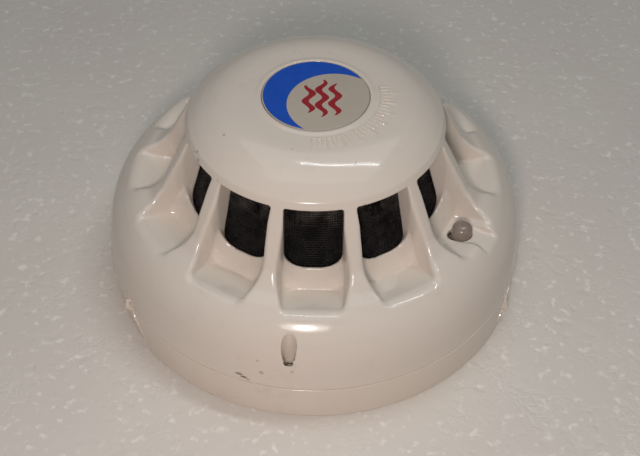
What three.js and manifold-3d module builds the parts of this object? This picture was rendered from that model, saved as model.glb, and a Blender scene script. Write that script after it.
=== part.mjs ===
// Point-type optical smoke detector: a round head locked by a short-turn bayonet in a ceiling base.
// Millimetres, +Z up. Origin: centre of the base's mounting face. +Z points out of the ceiling side,
// through the cap. Azimuth 0 is -Y and grows towards +X.
import * as THREE from 'three';
import { mergeVertices } from 'three/addons/utils/BufferGeometryUtils.js';
import Module from 'manifold-3d';

const wasm = await Module();
wasm.setup();

// ---- driving dimensions ------------------------------------------------------------------------
const TOTAL_HEIGHT = 54;          // mounting face to top of cap
const BASE_RADIUS = 54.5;         // base ring at the mounting face
const BASE_TOP_RADIUS = 54.1;     // base ring at its upper edge, after draft
const BASE_HEIGHT = 10.1;         // height of the base ring
const BASE_WALL = 2.4;            // base ring at the mounting face
const GAP = 0.35;                 // clearance between separate pieces
const SCOOPS = 12;                // smoke inlets around the head
const RIB_OFFSET = 15;            // degrees from a scoop's centre to the next rib
const WINDOW_TOP = 46.6;          // underside of the cap's lip
const MESH_LINE = [[31.7, 21.9], [31.7, 28.4], [25.7, 45.6]]; // outside of the insect mesh
const MESH_THICKNESS = 0.5;
const LABEL_RADIUS = 12.6;
const LABEL_THICKNESS = 0.5;
const LED_AZIMUTH = 62.6;
const LED_RADIUS_FROM_AXIS = 40.6;
const PIPE_RADIUS = 2.5;          // clear light pipe
const LOCK_AZIMUTH = -5.8;
const LOCK_RADIUS_FROM_AXIS = 51.2;
const LOCK_BORE_RADIUS = 1.8;
const FIXING_SPACING = 56;        // between the two screw slots' centres
const SLOT_WIDTH = 5;
const SLOT_TRAVEL = 5;            // how far a fixing screw can slide along its slot
const TERMINALS = [45, 135, 225, 315];
const TERMINAL_RADIUS_FROM_AXIS = 29;
const BAYONET_STARTS = [0, 90, 180, 270];
const BAYONET_SPAN = 17;          // degrees of ledge over each tab
const BOARD_Z = [14.5, 16.1];
const BOARD_RADIUS = 42.5;
const BOARD_SCREWS = [90, 210, 330];
const BOARD_SCREW_RADIUS_FROM_AXIS = 37.5;
const VANES = 16;
const ENTRY_RADIUS = 15;          // cable hole in the middle of the base
const KNOCKOUTS = [-64, 74];      // thin places in the base ring for a surface cable
const KNOCKOUT_HALF = 11;         // degrees each way from a knock-out's middle
const KNOCKOUT_R = [53, 53.7];    // web left between the inner and the outer recess
const ROUND = 48;                 // facets of the large round pieces
const FINE = 16;                  // facets of the small round pieces
const SMALL = 12;                 // facets of screws and holes

// Outer profile of the cover along a rib, [radius, height], from the axis to the seam.
const CREST = [
  [0, TOTAL_HEIGHT], [15, TOTAL_HEIGHT], [19, 53.75], [22.3, 53.1], [24.7, 52.3], [28.2, 50.35],
  [30.5, 48.4], [32.2, 46.25], [33.9, 42.9], [36.3, 38.3], [39.3, 33], [41, 30.9],
  [43.2, 29.9], [46, 28.7], [48.8, 26.45], [51, 23.6], [52.6, 19.9], [53.4, 16.3], [53.85, 10.45],
];
// Inner profile of the cover, from the skirt's mouth to the axis.
const HOLLOW = [
  [51.6, 9], [51.5, 16], [50.7, 19.4], [49.2, 22], [47, 23.8], [44.5, 24.9], [40, 24.1],
  [36.5, 23.6], [33.6, 25.2], [32.2, 27.4], [31.95, 29], [26.1, 46], [26.1, 47.4], [24.9, 49.3],
  [22.4, 50.8],
  [20.5, 51.5], [0, 51.5],
];
// Scoop stations: distance from the axis, floor height, half width, corner radius, side draft.
const SCOOP = [
  [24.5, 23, 5.9, 5, 0], [31.2, 27.3, 6.6, 5.3, 0], [32.8, 29.4, 6.8, 5.3, 0.02],
  [34.6, 27.1, 7.1, 3.4, 0.07], [36.2, 25.1, 7.3, 1.3, 0.1], [38.2, 25.8, 7.3, 0.9, 0.19],
  [42.5, 27.4, 7.15, 0.8, 0.26], [45.8, 28.7, 7, 0.8, 0.26], [49, 30, 6.7, 0.8, 0.26],
];
const LAMP_SIGHT = [3.15, 26.6];  // flat cut from the lamp outward, half width and floor height

// ---- helpers -----------------------------------------------------------------------------------
const rad = THREE.MathUtils.degToRad;

// Point at a distance from the axis and an azimuth.
function polar(radius, azimuth) {
  return [radius * Math.sin(rad(azimuth)), -radius * Math.cos(rad(azimuth))];
}

// A manifold solid from a closed geometry, with its faces turned outward.
function solid(geometry) {
  const bare = geometry.index ? geometry.toNonIndexed() : geometry.clone();
  bare.deleteAttribute('normal');
  bare.deleteAttribute('uv');
  const merged = mergeVertices(bare, 1e-4);
  const position = merged.getAttribute('position');
  const vertProperties = new Float32Array(position.array);
  const corner = (i) => new THREE.Vector3().fromArray(vertProperties, 3 * i);
  const triangles = [];
  let volume = 0;
  for (let i = 0; i < merged.index.count; i += 3) {
    const [a, b, c] = [0, 1, 2].map((k) => merged.index.getX(i + k));
    if (a === b || b === c || c === a) continue;
    triangles.push([a, b, c]);
    volume += corner(a).dot(corner(b).cross(corner(c)));
  }
  const facing = volume > 0 ? triangles : triangles.map(([a, b, c]) => [a, c, b]);
  const triVerts = new Uint32Array(facing.flat());
  return new wasm.Manifold(new wasm.Mesh({ numProp: 3, vertProperties, triVerts }));
}

// Back from a manifold solid to a geometry.
function geometryOf(shape) {
  const mesh = shape.getMesh();
  const geometry = new THREE.BufferGeometry();
  geometry.setAttribute('position', new THREE.BufferAttribute(new Float32Array(mesh.vertProperties), 3));
  geometry.setIndex(new THREE.BufferAttribute(new Uint32Array(mesh.triVerts), 1));
  geometry.computeVertexNormals();
  return geometry;
}

// Solid of revolution about Z. Points are [radius, height].
function revolve(points, segments = ROUND) {
  const outline = points.map(([r, z]) => new THREE.Vector2(r, z));
  const geometry = new THREE.LatheGeometry(outline, segments);
  geometry.rotateX(Math.PI / 2);
  return solid(geometry);
}

function cylinder(radius, low, high, segments = FINE) {
  return revolve([[0, low], [radius, low], [radius, high], [0, high]], segments);
}

function ring(inner, outer, low, high, segments = ROUND) {
  return revolve([[inner, low], [outer, low], [outer, high], [inner, high], [inner, low]], segments);
}

// Box with its centre at x, y, standing from low to high.
function block(x, y, width, depth, low, high) {
  const geometry = new THREE.BoxGeometry(width, depth, high - low);
  geometry.translate(x, y, (low + high) / 2);
  return solid(geometry);
}

// Upright prism of an outline given as [x, y] points.
function prism(points, low, high) {
  const shape = new THREE.Shape(points.map(([x, y]) => new THREE.Vector2(x, y)));
  const geometry = new THREE.ExtrudeGeometry(shape, { depth: high - low, bevelEnabled: false });
  geometry.translate(0, 0, low);
  return solid(geometry);
}

// Sector of a ring between two azimuths.
function arcBlock(inner, outer, from, to, low, high, steps = 4) {
  const angles = Array.from({ length: steps + 1 }, (_, i) => from + ((to - from) * i) / steps);
  const outside = angles.map((a) => polar(outer, a));
  const inside = angles.reverse().map((a) => polar(inner, a));
  return prism([...outside, ...inside], low, high);
}

// Closed skin through a row of closed sections, all with the same number of points.
function loft(sections) {
  const count = sections[0].length;
  const vertices = sections.flat();
  const index = [];
  for (let s = 0; s + 1 < sections.length; s += 1) {
    for (let k = 0; k < count; k += 1) {
      const a = s * count + k;
      const b = s * count + ((k + 1) % count);
      index.push(a, b, a + count, b, b + count, a + count);
    }
  }
  const last = (sections.length - 1) * count;
  for (let k = 1; k + 1 < count; k += 1) {
    index.push(0, k + 1, k, last, last + k, last + k + 1);
  }
  const geometry = new THREE.BufferGeometry();
  geometry.setAttribute('position', new THREE.Float32BufferAttribute(vertices.flat(), 3));
  geometry.setIndex(index);
  return solid(geometry);
}

const turned = (shape, azimuth) => shape.rotate([0, 0, azimuth]);
const moved = (shape, x, y, z = 0) => shape.translate([x, y, z]);
const at = (shape, radius, azimuth) => moved(shape, ...polar(radius, azimuth));
const joined = (shapes) => shapes.reduce((all, next) => all.add(next));
const around = (azimuths, make) => joined(azimuths.map((azimuth) => turned(make(azimuth), azimuth)));

const detector = new THREE.Group();

const FINISHES = {
  ivory: { color: 0xded3c1, roughness: 0.32, metalness: 0 },
  black: { color: 0x17161a, roughness: 0.5, metalness: 0 },
  mesh: { color: 0x121115, roughness: 0.75, metalness: 0 },
  steel: { color: 0xb9bbbd, roughness: 0.3, metalness: 1 },
  brass: { color: 0xc2a355, roughness: 0.35, metalness: 1 },
  board: { color: 0x1f5a38, roughness: 0.45, metalness: 0 },
  clear: { color: 0xa9a39b, roughness: 0.15, metalness: 0 },
  label: { color: 0xcfc5b6, roughness: 0.4, metalness: 0 },
  chip: { color: 0x202022, roughness: 0.6, metalness: 0 },
  led: { color: 0x9c2a22, roughness: 0.2, metalness: 0 },
  lens: { color: 0x3c3440, roughness: 0.1, metalness: 0 },
};

function place(name, shape, finish, azimuth = 0) {
  const mesh = new THREE.Mesh(geometryOf(shape), new THREE.MeshStandardMaterial(FINISHES[finish]));
  mesh.name = name;
  mesh.rotation.z = rad(azimuth);
  detector.add(mesh);
}

// ---- ceiling base ------------------------------------------------------------------------------
const PLATE_TOP = 2.2;
const ROOT = 0.5;                 // how far a rib or boss runs into what it stands on
const KNOCKOUT_TOP = 8.4;
const PAD_TOP = 4.4;
const STRIP_Z = [PAD_TOP + GAP, PAD_TOP + GAP + 0.8];
const CLAMP_Z = [STRIP_Z[1] + GAP, STRIP_Z[1] + GAP + 1];
const SCREW_HEAD_Z = [CLAMP_Z[1] + GAP, CLAMP_Z[1] + GAP + 1.9];
const SCREW_SHANK_RADIUS = 1.6;
const SCREW_HOLE_RADIUS = 1.95;
const SCREW_TIP = 1;
const LEDGE_Z = [6.3, 8.4];
const TAB_Z = [3.6, 5.9];
const BAYONET_R = { ring: [41.8, 43.4], tab: 45.9, ledge: [43.9, 46.5], wall: [46.4, 48.6] };

function mountingBase() {
  const inner = BASE_RADIUS - BASE_WALL;
  const shell = revolve([
    [ENTRY_RADIUS, 0], [BASE_RADIUS, 0], [BASE_TOP_RADIUS, BASE_HEIGHT], [inner, BASE_HEIGHT],
    [inner, PLATE_TOP], [ENTRY_RADIUS, PLATE_TOP], [ENTRY_RADIUS, 0],
  ]);
  const collar = ring(ENTRY_RADIUS, ENTRY_RADIUS + 1.6, PLATE_TOP - ROOT, 4);
  const pads = around(TERMINALS, () => block(0, -31.5, 13, 18, PLATE_TOP - ROOT, PAD_TOP));
  const brackets = around(BAYONET_STARTS, () => joined([
    arcBlock(...BAYONET_R.wall, -3, BAYONET_SPAN, PLATE_TOP - ROOT, LEDGE_Z[1]),
    arcBlock(...BAYONET_R.ledge, -3, BAYONET_SPAN, ...LEDGE_Z),
    arcBlock(BAYONET_R.ledge[0], BAYONET_R.wall[1], -3, -0.6, PLATE_TOP - ROOT, LEDGE_Z[1], 1),
  ]));
  const slotEnd = () => cylinder(SLOT_WIDTH / 2, -1, 5, SMALL);
  const slot = joined([
    block(FIXING_SPACING / 2, 0, SLOT_TRAVEL, SLOT_WIDTH, -1, 5),
    moved(slotEnd(), (FIXING_SPACING - SLOT_TRAVEL) / 2, 0),
    moved(slotEnd(), (FIXING_SPACING + SLOT_TRAVEL) / 2, 0),
  ]);
  const screwHoles = around(TERMINALS, () => (
    moved(cylinder(SCREW_HOLE_RADIUS, SCREW_TIP - 0.4, 9, SMALL), 0, -TERMINAL_RADIUS_FROM_AXIS)));
  const recessed = (from, to, low) => around(KNOCKOUTS, () => (
    arcBlock(from, to, -KNOCKOUT_HALF, KNOCKOUT_HALF, low, KNOCKOUT_TOP, 6)));
  const thinned = recessed(inner - 1, KNOCKOUT_R[0], PLATE_TOP);
  const marked = recessed(KNOCKOUT_R[1], BASE_RADIUS + 1, -1);
  const lockNotch = at(cylinder(2.4, 6.5, 12, SMALL), LOCK_RADIUS_FROM_AXIS, LOCK_AZIMUTH);
  return joined([shell, collar, pads, brackets])
    .subtract(joined([slot, turned(slot, 180), screwHoles, thinned, marked, lockNotch]));
}

// Contact strip that a field wire is clamped to; the head's blade meets its outer end.
function terminalStrip() {
  const outline = [
    [-5, -24.5], [5, -24.5], [5, -33.5], [3, -33.5], [3, -40.6], [-3, -40.6], [-3, -33.5], [-5, -33.5],
  ];
  const hole = moved(cylinder(SCREW_HOLE_RADIUS, 0, 9, SMALL), 0, -TERMINAL_RADIUS_FROM_AXIS);
  return prism(outline, ...STRIP_Z).subtract(hole);
}

function terminalClamp() {
  const plate = block(0, -TERMINAL_RADIUS_FROM_AXIS, 8.4, 7.6, ...CLAMP_Z);
  return plate.subtract(moved(cylinder(SCREW_HOLE_RADIUS, 0, 9, SMALL), 0, -TERMINAL_RADIUS_FROM_AXIS));
}

// Pan-head screw with a cross recess, standing on Z.
function panScrew(headRadius, shankRadius, headZ, tip) {
  const [low, high] = headZ;
  const body = revolve([
    [0, tip], [shankRadius * 0.6, tip], [shankRadius, tip + 0.6], [shankRadius, low], [headRadius, low],
    [headRadius, low + 0.55 * (high - low)], [headRadius * 0.6, high], [0, high],
  ], SMALL);
  const slotWidth = headRadius * 0.28;
  const slots = joined([
    block(0, 0, headRadius * 1.2, slotWidth, high - 0.8, high + 1),
    block(0, 0, slotWidth, headRadius * 1.2, high - 0.8, high + 1),
  ]);
  return body.subtract(slots);
}

place('mounting_base', mountingBase(), 'ivory');
TERMINALS.forEach((azimuth, i) => {
  const screw = panScrew(3.1, SCREW_SHANK_RADIUS, SCREW_HEAD_Z, SCREW_TIP);
  place(`terminal_strip_${i + 1}`, terminalStrip(), 'brass', azimuth);
  place(`terminal_clamp_${i + 1}`, terminalClamp(), 'steel', azimuth);
  place(`terminal_screw_${i + 1}`, moved(screw, 0, -TERMINAL_RADIUS_FROM_AXIS), 'steel', azimuth);
});

// ---- head chassis ------------------------------------------------------------------------------
const FLOOR_Z = [10.9, 12.7];
const RIM_R = [49.3, 50.9];
const POST_TOP = BOARD_Z[0] - GAP;
const BLADE_THICKNESS = 0.5;

function headChassis() {
  const floor = cylinder(RIM_R[1], ...FLOOR_Z, ROUND);
  const bayonetRing = ring(...BAYONET_R.ring, TAB_Z[0] - ROOT, FLOOR_Z[0] + ROOT);
  const tabs = around(BAYONET_STARTS, () => (
    arcBlock(BAYONET_R.ring[1] - 0.4, BAYONET_R.tab, 0.6, BAYONET_SPAN - 3, ...TAB_Z)));
  const rim = ring(...RIM_R, FLOOR_Z[1] - ROOT, 15.4);
  const posts = around(BOARD_SCREWS, () => (
    moved(cylinder(3.4, FLOOR_Z[1] - ROOT, POST_TOP, SMALL), 0, -BOARD_SCREW_RADIUS_FROM_AXIS)));
  const pilotHoles = around(BOARD_SCREWS, () => (
    moved(cylinder(1.6, 11.3, 20, SMALL), 0, -BOARD_SCREW_RADIUS_FROM_AXIS)));
  const lockRelief = at(cylinder(4, 5, 20, SMALL), LOCK_RADIUS_FROM_AXIS, LOCK_AZIMUTH);
  return joined([floor, bayonetRing, tabs, rim, posts]).subtract(joined([pilotHoles, lockRelief]));
}

// Sprung strip under the chassis that presses on a base terminal.
function contactBlade() {
  const top = FLOOR_Z[0] - GAP;
  const low = STRIP_Z[1] + GAP;
  const upper = [[20.5, top], [33.6, top], [38.6, low + BLADE_THICKNESS], [40.6, low + 1.3]];
  const lower = upper.map(([r, z]) => [r, z - BLADE_THICKNESS]).reverse();
  const outline = [...upper, ...lower].map(([r, z]) => new THREE.Vector2(r, z));
  const width = 5.4;
  const geometry = new THREE.ExtrudeGeometry(new THREE.Shape(outline), { depth: width, bevelEnabled: false });
  geometry.rotateX(Math.PI / 2);
  geometry.rotateZ(-Math.PI / 2);
  geometry.translate(width / 2, 0, 0);
  return solid(geometry);
}

place('head_chassis', headChassis(), 'ivory');
TERMINALS.forEach((azimuth, i) => place(`contact_blade_${i + 1}`, contactBlade(), 'steel', azimuth));

// ---- circuit board -----------------------------------------------------------------------------
const PART_Z = BOARD_Z[1] + GAP;

function circuitBoard() {
  const holes = around(BOARD_SCREWS, () => (
    moved(cylinder(1.7, 10, 20, SMALL), 0, -BOARD_SCREW_RADIUS_FROM_AXIS)));
  return cylinder(BOARD_RADIUS, ...BOARD_Z, ROUND).subtract(holes);
}

function indicatorLed() {
  return revolve([[0, PART_Z], [1.9, PART_Z], [1.9, 17], [1.5, 17], [1.5, 17.8], [1, 18.3], [0, 18.5]], FINE);
}

function capacitor() {
  return revolve([[0, PART_Z], [2.4, PART_Z], [2.4, 21.6], [2.1, 22], [0, 22]], FINE);
}

place('circuit_board', circuitBoard(), 'board');
BOARD_SCREWS.forEach((azimuth, i) => {
  const screw = moved(panScrew(2.7, 1.2, [PART_Z, PART_Z + 1.6], 11.8), 0, -BOARD_SCREW_RADIUS_FROM_AXIS);
  place(`board_screw_${i + 1}`, screw, 'steel', azimuth);
});
place('control_chip', block(0, -37.2, 9, 6, PART_Z, PART_Z + 1.5), 'chip', 0);
place('drive_chip', block(0, -37.2, 6, 4.4, PART_Z, PART_Z + 1.4), 'chip', 250);
place('storage_capacitor_1', moved(capacitor(), 0, -38), 'black', 120);
place('storage_capacitor_2', moved(capacitor(), 0, -38), 'black', 130);
place('screening_can', block(0, -20, 14, 12, PART_Z, 19), 'steel', 170);
place('indicator_led', moved(indicatorLed(), 0, -LED_RADIUS_FROM_AXIS), 'led', LED_AZIMUTH);

// ---- optical chamber ---------------------------------------------------------------------------
const CHAMBER_FLOOR_Z = [19.6, 21.5];
const VANE_TOP = 43;
const HOLDER_Z = CHAMBER_FLOOR_Z[1] + GAP;
const BEAM_Z = 27.5;
const EMITTER_AZIMUTH = 150;
const RECEIVER_AZIMUTH = 30;

// Black tray with bent vanes that let smoke in and keep room light out.
function chamberTray() {
  const floor = cylinder(31.2, ...CHAMBER_FLOOR_Z, ROUND);
  const legs = around([70, 190, 310], () => (
    moved(cylinder(2.2, PART_Z, CHAMBER_FLOOR_Z[0] + ROOT, SMALL), 0, -27.5)));
  const outline = [[-2.8, -25.6], [-1.8, -25.6], [2.2, -22], [-1.2, -18.6], [-2.2, -18.6], [0.9, -22]];
  const vanes = around(
    Array.from({ length: VANES }, (_, i) => (360 / VANES) * i),
    () => prism(outline, CHAMBER_FLOOR_Z[1] - ROOT, VANE_TOP),
  );
  return joined([floor, legs, vanes]);
}

function chamberLid() {
  return revolve([[0, 43.4], [24.9, 43.4], [24.9, 45.2], [21, 46.4], [0, 46.4]]);
}

// Cone of fine black mesh on a short upright foot around the vanes, which keeps insects out.
function insectMesh() {
  const inside = MESH_LINE.map(([radius, z]) => [radius - MESH_THICKNESS, z]);
  return revolve([inside[0], ...MESH_LINE, ...inside.reverse()]);
}

// Block with a blind sight bore pointing at the middle of the chamber.
function opticHolder(boreRadius, depth) {
  const back = 16.4;
  const boreBack = back - 1.2;
  const boreFront = back - depth - 1;
  const bore = new THREE.CylinderGeometry(boreRadius, boreRadius, boreBack - boreFront, FINE);
  bore.translate(0, -(boreBack + boreFront) / 2, BEAM_Z);
  const housing = block(0, -back + depth / 2, 8, depth, HOLDER_Z, BEAM_Z + 4.4);
  return housing.subtract(solid(bore));
}

// Dome-ended round lamp lying along the radius, dome towards the axis.
function radialLamp(radius, back, front) {
  const length = back - front;
  const shape = revolve([
    [0, 0], [radius, 0], [radius, length - radius * 0.9], [radius * 0.75, length - radius * 0.3],
    [radius * 0.35, length - 0.05], [0, length],
  ], FINE);
  return moved(shape.rotate([-90, 0, 0]), 0, -back, BEAM_Z);
}

place('chamber_tray', chamberTray(), 'black');
place('chamber_lid', chamberLid(), 'black');
place('insect_mesh', insectMesh(), 'mesh');
place('emitter_holder', opticHolder(2.85, 8), 'black', EMITTER_AZIMUTH);
place('receiver_holder', opticHolder(2.85, 7), 'black', RECEIVER_AZIMUTH);
place('infrared_emitter', radialLamp(2.5, 14.8, 9), 'lens', EMITTER_AZIMUTH);
place('receiver_lens', radialLamp(2.5, 12.6, 10), 'clear', RECEIVER_AZIMUTH);
place('photodiode', block(0, -14, 3.4, 1.6, BEAM_Z - 1.7, BEAM_Z + 1.7), 'chip', RECEIVER_AZIMUTH);

// ---- outer cover -------------------------------------------------------------------------------
const COVER_FOOT = CREST[CREST.length - 1][1];
const RECESS_DEPTH = 0.9;

// One smoke scoop: a channel with a rounded floor, open above, cut outward through the ribs.
function scoopCutter() {
  const cornerSteps = 3;
  return loft(SCOOP.map(([y, floor, half, corner, draft]) => {
    const side = [];
    for (let i = 0; i <= cornerSteps; i += 1) {
      const angle = (Math.PI / 2) * (i / cornerSteps);
      side.push([half - corner + corner * Math.sin(angle), floor + corner - corner * Math.cos(angle)]);
    }
    side.push([half + draft * (WINDOW_TOP - floor - corner), WINDOW_TOP]);
    const right = side.map(([x, z]) => [x, -y, z]);
    const left = side.reverse().map(([x, z]) => [-x, -y, z]);
    return [...right, ...left];
  }));
}

function outerCover() {
  const outside = revolve([[0, COVER_FOOT], ...CREST.slice().reverse()]);
  const hollow = revolve([[0, HOLLOW[0][1]], ...HOLLOW], 36);
  const scoops = around(
    Array.from({ length: SCOOPS }, (_, i) => 2 * RIB_OFFSET * i),
    () => scoopCutter(),
  );
  const boss = at(cylinder(3.4, COVER_FOOT, 24), LOCK_RADIUS_FROM_AXIS, LOCK_AZIMUTH).intersect(outside);
  const lockBore = at(cylinder(LOCK_BORE_RADIUS, 5, 35), LOCK_RADIUS_FROM_AXIS, LOCK_AZIMUTH);
  const recess = cylinder(LABEL_RADIUS + GAP, TOTAL_HEIGHT - RECESS_DEPTH, TOTAL_HEIGHT + 2, ROUND);
  const pipeHole = at(cylinder(PIPE_RADIUS + GAP, 18, 32), LED_RADIUS_FROM_AXIS, LED_AZIMUTH);
  const sight = block(0, -LED_RADIUS_FROM_AXIS - 12, 2 * LAMP_SIGHT[0], 24, LAMP_SIGHT[1], 35);
  const lampSight = sight.rotate([0, 0, LED_AZIMUTH]);
  return outside.subtract(hollow).subtract(scoops).add(boss)
    .subtract(joined([lockBore, recess, pipeHole, lampSight]));
}

function labelDisc() {
  const low = TOTAL_HEIGHT - RECESS_DEPTH + 0.3;
  return cylinder(LABEL_RADIUS, low, low + LABEL_THICKNESS, ROUND);
}

function lightPipe() {
  return revolve([
    [0, 18.9], [2.1, 18.9], [PIPE_RADIUS, 22.4], [3.4, 22.4], [3.4, 23.5], [PIPE_RADIUS, 23.5],
    [PIPE_RADIUS, 28.4], [2.3, 29.4], [1.7, 30.3], [0.9, 30.8], [0, 30.9],
  ], FINE);
}

function lockScrew() {
  const body = revolve([[0, 11], [1, 11], [1.5, 11.5], [1.5, 14.2], [1.3, 14.4], [0, 14.4]], SMALL);
  const key = new THREE.CylinderGeometry(0.87, 0.87, 3, 6);
  key.rotateX(Math.PI / 2);
  key.translate(0, 0, 14.4);
  return body.subtract(solid(key));
}

place('outer_cover', outerCover(), 'ivory');
place('label_disc', labelDisc(), 'label');
place('light_pipe', moved(lightPipe(), 0, -LED_RADIUS_FROM_AXIS), 'clear', LED_AZIMUTH);
place('lock_screw', moved(lockScrew(), 0, -LOCK_RADIUS_FROM_AXIS), 'steel', LOCK_AZIMUTH);

export default detector;
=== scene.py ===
"""Optical smoke detector on its ceiling base, lying cap up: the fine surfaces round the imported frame."""

import math

import bpy
import numpy as np
from mathutils import Matrix, Vector


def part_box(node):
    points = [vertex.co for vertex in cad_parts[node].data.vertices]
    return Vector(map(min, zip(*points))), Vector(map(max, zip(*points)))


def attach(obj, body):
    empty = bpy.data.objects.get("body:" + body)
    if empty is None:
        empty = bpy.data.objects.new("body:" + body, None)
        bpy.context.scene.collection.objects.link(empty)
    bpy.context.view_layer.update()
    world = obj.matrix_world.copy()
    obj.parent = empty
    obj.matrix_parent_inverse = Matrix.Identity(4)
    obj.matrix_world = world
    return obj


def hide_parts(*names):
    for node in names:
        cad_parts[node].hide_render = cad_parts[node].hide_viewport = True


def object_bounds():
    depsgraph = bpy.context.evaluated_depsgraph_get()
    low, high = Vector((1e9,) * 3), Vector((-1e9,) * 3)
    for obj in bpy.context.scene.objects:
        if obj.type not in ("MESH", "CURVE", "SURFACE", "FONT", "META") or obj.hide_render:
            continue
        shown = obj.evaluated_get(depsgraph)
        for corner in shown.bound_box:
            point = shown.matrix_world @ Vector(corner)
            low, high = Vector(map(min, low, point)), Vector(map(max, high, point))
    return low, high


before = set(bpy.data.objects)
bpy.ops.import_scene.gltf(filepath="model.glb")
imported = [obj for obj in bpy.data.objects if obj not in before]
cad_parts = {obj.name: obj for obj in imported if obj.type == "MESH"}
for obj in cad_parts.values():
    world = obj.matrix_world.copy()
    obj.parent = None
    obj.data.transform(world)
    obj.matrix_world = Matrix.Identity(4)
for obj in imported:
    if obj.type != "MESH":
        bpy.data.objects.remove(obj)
cad_low, cad_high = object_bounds()
MM = 0.001

# ---- sizes in millimetres, as the frame has them -------------------------------------------------
BASE_RADIUS = cad_high.x / MM
HEIGHT = cad_high.z / MM
BASE_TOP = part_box("mounting_base")[1].z / MM
COVER_FOOT = BASE_TOP + 0.06
SECTOR = 30                 # degrees from one smoke scoop to the next
WINDOW_TOP = 46.6
LABEL_RADIUS = (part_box("label_disc")[1].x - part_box("label_disc")[0].x) / 2 / MM
LABEL_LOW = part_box("label_disc")[0].z / MM
LABEL_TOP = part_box("label_disc")[1].z / MM
LED_AZIMUTH, LED_RADIUS, PIPE_RADIUS = 62.6, 40.6, 2.5
SIGHT_HALF, SIGHT_FLOOR = 3.15, 26.6     # flat cut from the lamp outward through the shoulder
LOCK_AZIMUTH, LOCK_RADIUS, LOCK_BORE = -5.8, 51.2, 1.75
KNOCKOUTS = (-64, 74)
TERMINALS = (45, 135, 225, 315)
BAYONETS = (0, 90, 180, 270)
BOARD_SCREWS = (90, 210, 330)


# ---- camera --------------------------------------------------------------------------------------
def make_camera():
    data = bpy.data.cameras.new("camera")
    data.sensor_width = 36
    data.lens = 56.25
    camera = bpy.data.objects.new("camera", data)
    bpy.context.scene.collection.objects.link(camera)
    elevation, roll = math.radians(46.98), math.radians(0.8)
    camera.matrix_world = (
        Matrix.Translation(Vector((1.459, -184.746, 205.576)) * MM)
        @ Matrix.Rotation(math.pi / 2 - elevation, 4, "X")
        @ Matrix.Rotation(roll, 4, "Z")
    )
    bpy.context.scene.camera = camera


make_camera()


# ---- mesh helpers ----------------------------------------------------------------------------------
def polar(radius, azimuth):
    a = math.radians(azimuth)
    return radius * math.sin(a), -radius * math.cos(a)


def mesh_object(name, vertices, faces, material, smooth_below=40, normals=None):
    """A mesh piece from vertices in millimetres."""
    mesh = bpy.data.meshes.new(name)
    mesh.from_pydata((np.asarray(vertices, float) * MM).tolist(), [], faces)
    mesh.update()
    mesh.polygons.foreach_set("use_smooth", [True] * len(mesh.polygons))
    if normals is not None:
        mesh.normals_split_custom_set_from_vertices(normals.tolist())
    else:
        mesh.set_sharp_from_angle(angle=math.radians(smooth_below))
    mesh.materials.append(material)
    piece = bpy.data.objects.new(name, mesh)
    bpy.context.scene.collection.objects.link(piece)
    return piece


def filleted(corners, step=10):
    """Outline points through [x, y, radius] corners, each rounded by an arc in steps of so many degrees."""
    points = []
    for k, (x, y, radius) in enumerate(corners):
        here = np.array((x, y), float)
        if radius == 0 or k in (0, len(corners) - 1):
            points.append(here)
            continue
        back = np.array(corners[k - 1][:2], float) - here
        ahead = np.array(corners[k + 1][:2], float) - here
        back /= np.hypot(*back)
        ahead /= np.hypot(*ahead)
        half = math.acos(np.clip(back @ ahead, -1, 1)) / 2
        reach = radius / math.tan(half)
        centre = here + (back + ahead) / np.hypot(*(back + ahead)) * radius / math.sin(half)
        first, last = here + back * reach - centre, here + ahead * reach - centre
        start = math.atan2(first[1], first[0])
        turn = math.atan2(last[1], last[0]) - start
        turn = (turn + math.pi) % (2 * math.pi) - math.pi
        count = max(2, math.ceil(abs(math.degrees(turn)) / step))
        for i in range(count + 1):
            angle = start + turn * i / count
            points.append(centre + radius * np.array((math.cos(angle), math.sin(angle))))
    return np.array(points)


def spun(line, segments=192, closed=False):
    """Vertices and faces of a line of (radius, height) points turned about Z; ends on the axis close."""
    vertices, rings = [], []
    for radius, height in line:
        if radius < 1e-6:
            rings.append([len(vertices)] * segments)
            vertices.append((0, 0, height))
            continue
        rings.append(list(range(len(vertices), len(vertices) + segments)))
        vertices += [(*polar(radius, 360 * k / segments), height) for k in range(segments)]
    pairs = list(zip(rings, rings[1:]))
    if closed:
        pairs.append((rings[-1], rings[0]))
    faces = []
    for low, high in pairs:
        for k in range(segments):
            n = (k + 1) % segments
            face = list(dict.fromkeys((low[k], low[n], high[n], high[k])))
            if len(face) > 2:
                faces.append(face)
    return vertices, faces


def shift(vertices, azimuth=0, offset=(0, 0, 0)):
    """Vertices moved by offset and then turned about the axis of the detector."""
    a = math.radians(azimuth)
    turn = np.array(((math.cos(a), -math.sin(a), 0), (math.sin(a), math.cos(a), 0), (0, 0, 1)))
    return (np.asarray(vertices, float) + np.array(offset, float)) @ turn.T


def gathered(parts):
    """One vertex list and one face list from several (vertices, faces) pairs."""
    vertices, faces = [], []
    for part_vertices, part_faces in parts:
        base = len(vertices)
        vertices += [tuple(v) for v in part_vertices]
        faces += [[base + i for i in face] for face in part_faces]
    return vertices, faces


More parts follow.
